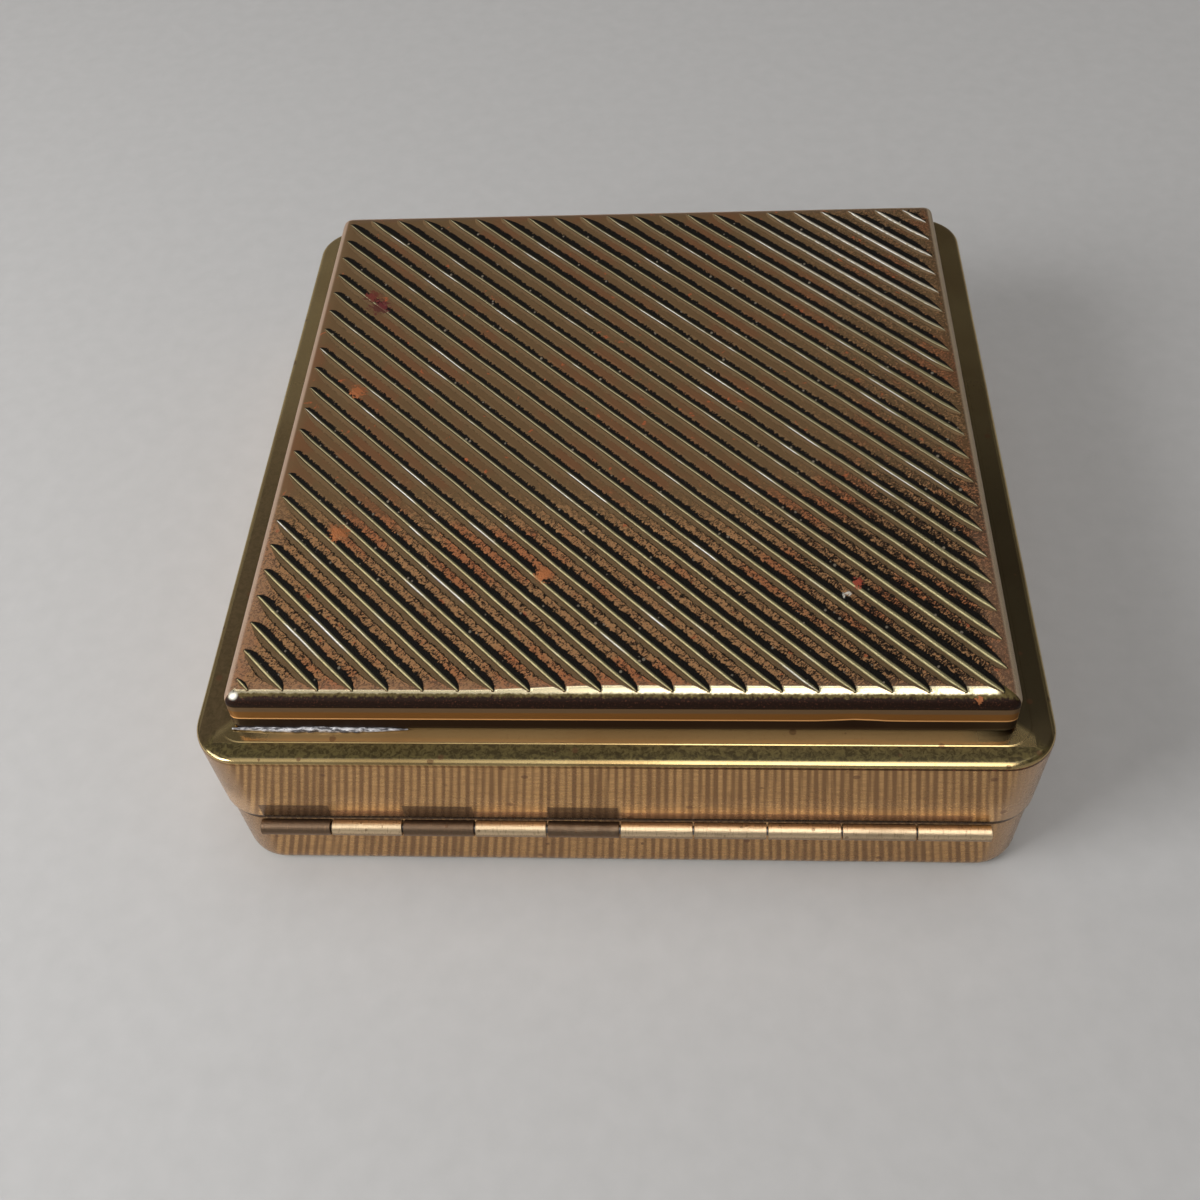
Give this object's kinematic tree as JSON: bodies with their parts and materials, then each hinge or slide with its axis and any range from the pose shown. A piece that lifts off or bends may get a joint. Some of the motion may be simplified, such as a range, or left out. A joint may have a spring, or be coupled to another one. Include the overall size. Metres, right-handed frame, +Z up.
{
  "type": "mini jewelry box",
  "caption": "Small square hinged brass box with a raised lid plate of diagonal grooves, a tube hinge along the back, a push-button catch, a velvet lining and a lid mirror.",
  "frame": {"origin": "middle of the base's flat underside", "axes": "+Z up through the lid, +Y towards the hinge at the back, -Y towards the push button at the front, +X along the hinge"},
  "size_m": [0.076, 0.0786, 0.0236],
  "materials": {
    "brass": "polished, worn and lightly tarnished",
    "plate_brass": "polished, with copper-coloured corrosion specks and dark dirt in the grooves",
    "tube_brass": "drawn tube, finely brushed",
    "spring_steel": "hard drawn",
    "velvet": "short pile velvet",
    "card": "plain grey-brown board",
    "mirror_glass": "silvered flat glass"
  },
  "bodies": {
    "base": {"base_pan": "brass", "base_collar": "brass", "side_lining": "velvet", "floor_pad": "velvet", "catch_cover": "brass", "catch_spring": "spring_steel", "hinge_pin": "spring_steel", "base_knuckle_1": "tube_brass", "base_knuckle_2": "tube_brass", "base_knuckle_3": "tube_brass", "base_knuckle_4": "tube_brass", "base_knuckle_5": "tube_brass"},
    "lid": {"lid_shell": "brass", "grooved_plate": "plate_brass", "lid_knuckle_1": "tube_brass", "lid_knuckle_2": "tube_brass", "lid_knuckle_3": "tube_brass", "lid_knuckle_4": "tube_brass", "lid_knuckle_5": "tube_brass", "keeper": "brass", "mirror_backing": "card", "mirror_glass": "mirror_glass", "mirror_frame": "brass"},
    "button": {"push_button": "brass", "catch_bolt": "brass"}
  },
  "joints": [
    {"name": "lid_hinge", "type": "hinge", "parent": "base", "child": "lid", "pos_m": [0, 0.0388, 0.00895], "axis": [-1, 0, 0], "range_deg": [0, 140]},
    {"name": "button_push", "type": "slide", "parent": "base", "child": "button", "axis": [0, 1, 0], "range_m": [0, 0.0008], "stiffness_N_per_m": 800, "springref_m": -0.001, "deforming": ["catch_spring"]}
  ]
}
